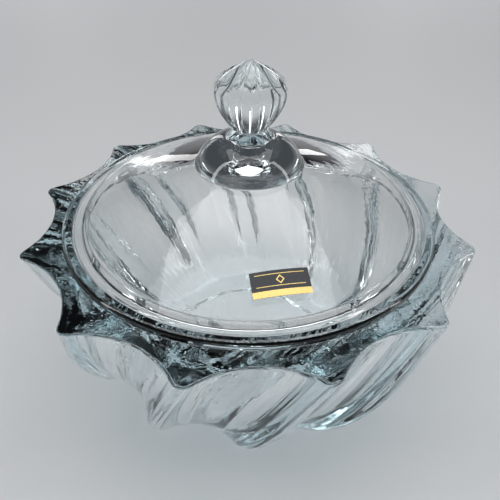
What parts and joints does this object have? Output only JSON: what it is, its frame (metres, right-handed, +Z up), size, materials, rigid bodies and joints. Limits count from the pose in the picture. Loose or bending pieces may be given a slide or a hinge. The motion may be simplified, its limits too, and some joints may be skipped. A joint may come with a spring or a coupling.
{
  "type": "covered candy dish",
  "caption": "Clear crystal candy dish: a star-rimmed bowl with swirling ribs, and a low conical lid with a fluted ball knob and a small foil label.",
  "frame": {"origin": "centre of the base, on the plane the dish rests on", "axes": "+Z up along the axis of the bowl and the lid, -Y towards the front with the label"},
  "size_m": [0.2034, 0.2034, 0.1647],
  "materials": {
    "bowl_glass": "clear polished crystal glass",
    "lid_glass": "clear polished crystal glass",
    "label_foil": "glossy black foil with a gold strip and border"
  },
  "bodies": {
    "root": {"bowl": "bowl_glass", "lid": "lid_glass", "label": "label_foil"}
  },
  "joints": []
}
